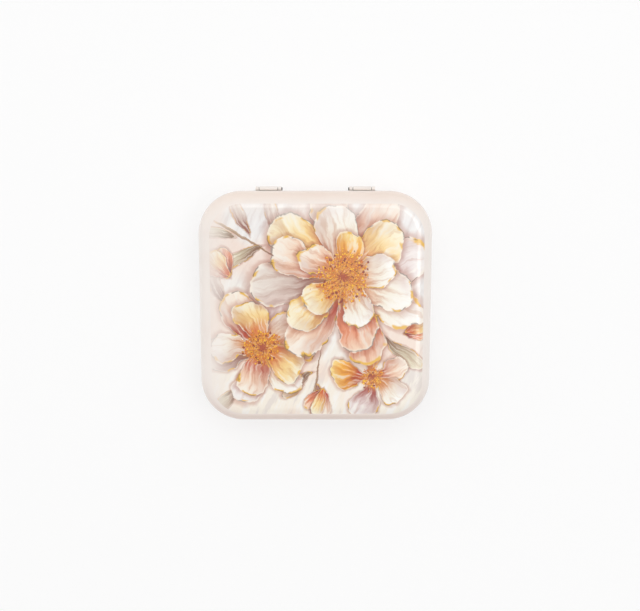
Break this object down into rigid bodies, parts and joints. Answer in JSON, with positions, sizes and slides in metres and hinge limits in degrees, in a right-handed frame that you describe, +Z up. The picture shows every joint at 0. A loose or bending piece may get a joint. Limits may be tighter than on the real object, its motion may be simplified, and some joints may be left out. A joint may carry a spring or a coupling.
{
  "type": "hinged storage tin",
  "caption": "Square hinged tinplate box with rounded corners and a soft-shouldered, flower-printed lid that swings on wire hinges, for sewing notions and keepsakes.",
  "frame": {"origin": "middle of the flat bottom, on the surface that the tin stands on", "axes": "+Z up out of the tray, +Y towards the hinged side, +X to the right as seen from the front"},
  "size_m": [0.07, 0.0713, 0.02],
  "materials": {
    "printed_lid": "offset-printed tinplate under clear gloss lacquer, plain pale blush on the shoulder and skirt",
    "blush_lacquer": "pale blush lacquer with a soft gloss outside, a paler plain coat inside",
    "dull_wire": "drawn steel wire, dulled dark"
  },
  "bodies": {
    "tray": {"base_tray": "blush_lacquer", "left_hinge_pin": "dull_wire", "right_hinge_pin": "dull_wire"},
    "lid": {"lid": "printed_lid"}
  },
  "joints": [
    {"name": "lid_hinge", "type": "hinge", "parent": "tray", "child": "lid", "pos_m": [0, 0.0355, 0.0109], "axis": [-1, 0, 0], "range_deg": [0, 180]}
  ]
}
